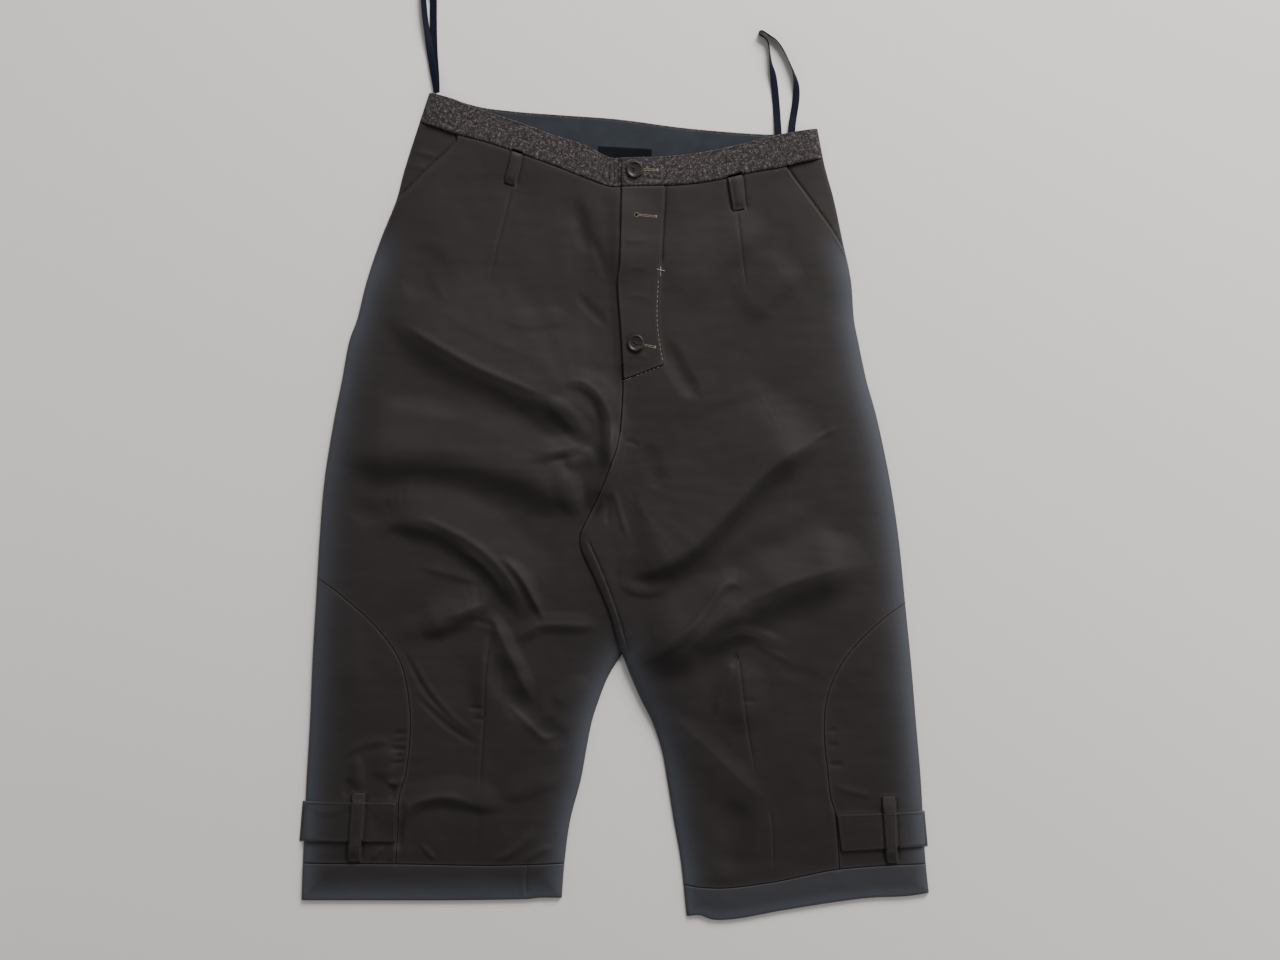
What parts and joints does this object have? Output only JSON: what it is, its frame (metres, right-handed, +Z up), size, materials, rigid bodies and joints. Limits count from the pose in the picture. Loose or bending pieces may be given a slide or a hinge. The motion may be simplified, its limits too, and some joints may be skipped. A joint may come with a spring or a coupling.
{
  "type": "drop-crotch trousers laid flat",
  "caption": "Cropped drop-crotch trousers laid flat, front up, with tweed waistband, exposed button fly, slant pockets, curved calf panels, ankle tabs and ribbon hanger loops.",
  "frame": {"origin": "on the table under the middle of the trousers, hanger loops left out", "axes": "+Y from the hems to the waist, +Z up off the table out of the front of the trousers, +X to the wearer's left leg"},
  "size_m": [0.6294, 0.9434, 0.0313],
  "materials": {
    "body_cloth": "brushed cotton satin-twill, soft sheen",
    "tweed": "coarse slubby tweed weave, matte",
    "facing_cloth": "slate cotton, matte",
    "label_cloth": "plain black woven tape, satin",
    "horn_button": "satin",
    "ribbon": "satin ribbon"
  },
  "bodies": {
    "root": {"front_panel_right": "body_cloth", "front_panel_left": "body_cloth", "side_panel_right": "body_cloth", "side_panel_left": "body_cloth", "back_panel_right": "body_cloth", "back_panel_left": "body_cloth", "pocket_facing_right": "body_cloth", "pocket_facing_left": "body_cloth", "waistband_front_right": "tweed", "waistband_front_left": "tweed", "waistband_back": "tweed", "waistband_facing": "facing_cloth", "waist_label": "label_cloth", "fly_placket": "body_cloth", "button_waist": "horn_button", "button_fly": "horn_button", "belt_loop_right": "body_cloth", "belt_loop_left": "body_cloth", "hem_band_front_right": "body_cloth", "hem_band_front_left": "body_cloth", "hem_band_back_right": "body_cloth", "hem_band_back_left": "body_cloth", "ankle_tab_right": "body_cloth", "ankle_tab_left": "body_cloth", "tab_loop_right": "body_cloth", "tab_loop_left": "body_cloth", "hanger_loop_right": "ribbon", "hanger_loop_left": "ribbon"}
  },
  "joints": []
}
